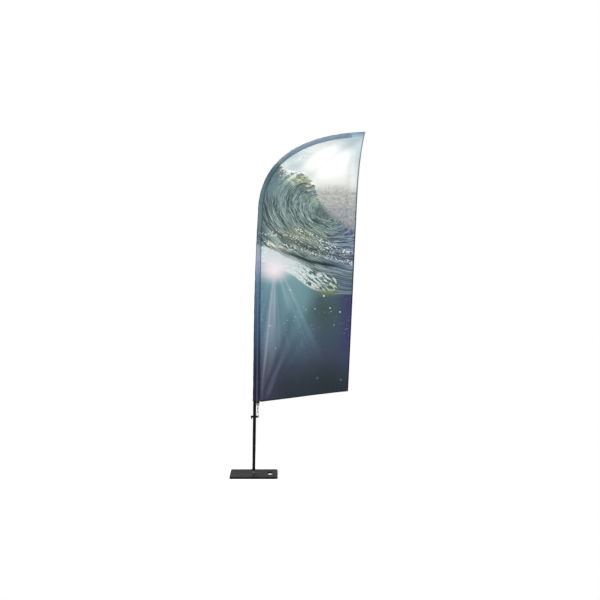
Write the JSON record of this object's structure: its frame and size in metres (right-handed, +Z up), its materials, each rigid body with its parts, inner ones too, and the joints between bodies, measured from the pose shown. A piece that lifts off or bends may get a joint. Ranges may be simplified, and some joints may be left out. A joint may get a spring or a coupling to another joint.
{
  "type": "feather flag with pole",
  "caption": "Tall printed feather flag sleeved over a bowed sectional pole that swivels on a spindle in a flat square base plate with a carrying slot.",
  "frame": {"origin": "the spindle's axis at floor level, in the middle of the mat's underside", "axes": "+Z up along the spindle, +X from the pole towards the flag's free edge, +Y through the flag from its front to its back"},
  "size_m": [0.8603, 0.3, 2.1851],
  "materials": {
    "painted_plate": "satin",
    "mat_rubber": "matte",
    "zinc_steel": "satin",
    "black_aluminium": "satin",
    "black_plastic": "satin",
    "white_plastic": "satin",
    "fibreglass": "satin",
    "sleeve_cloth": "matte",
    "printed_cloth": "matte",
    "dark_tape": "matte",
    "elastic_cord": "matte"
  },
  "bodies": {
    "base": {"floor_mat": "mat_rubber", "base_plate": "painted_plate", "spindle_bolt": "zinc_steel", "spindle_washer": "zinc_steel", "spindle_nut": "zinc_steel", "top_washer": "zinc_steel", "retaining_ring": "zinc_steel"},
    "rotor": {"rotor_lower_bush": "white_plastic", "rotor_sleeve": "zinc_steel", "rotor_upper_bush": "white_plastic"},
    "pole": {"pole_lower_section": "black_aluminium", "pole_lower_joint_bush": "black_plastic", "pole_middle_section": "black_aluminium", "pole_upper_joint_bush": "black_plastic", "pole_tip_rod": "fibreglass", "pole_tip_cap": "black_plastic", "pole_sleeve": "sleeve_cloth", "flag_panel": "printed_cloth", "sleeve_tip_pocket": "sleeve_cloth", "bottom_edge_binding": "dark_tape", "free_edge_binding": "dark_tape", "corner_tab": "dark_tape", "tab_eyelet": "zinc_steel", "bungee_cord": "elastic_cord", "bungee_crimp": "black_aluminium"},
    "collar": {"tension_collar": "black_plastic", "clamp_nut": "zinc_steel", "hook_pin": "zinc_steel", "snap_hook": "zinc_steel", "gate_rivet": "zinc_steel"},
    "lever": {"clamp_lever": "black_plastic", "clamp_screw": "zinc_steel"},
    "gate": {"hook_gate": "zinc_steel"}
  },
  "joints": [
    {"name": "flag_swivel", "type": "hinge", "parent": "base", "child": "rotor", "pos_m": [0, 0, 0.08], "axis": [0, 0, 1], "continuous": true},
    {"name": "pole_lift", "type": "slide", "parent": "rotor", "child": "pole", "axis": [0.0142, 0, 0.9999], "range_m": [0, 0.12]},
    {"name": "collar_slide", "type": "slide", "parent": "pole", "child": "collar", "axis": [0.0142, 0, 0.9999], "range_m": [-0.04, 0.012], "deforming": ["bungee_cord"]},
    {"name": "lever_turn", "type": "hinge", "parent": "collar", "child": "lever", "pos_m": [-0.01456, 0, 0.37123], "axis": [0, 1, 0], "range_deg": [0, 180]},
    {"name": "gate_snap", "type": "hinge", "parent": "collar", "child": "gate", "pos_m": [0.03054, 0, 0.3783], "axis": [0, 1, 0], "range_deg": [-28, 0], "stiffness_Nm_per_rad": 0.01, "springref_deg": 11.46}
  ]
}
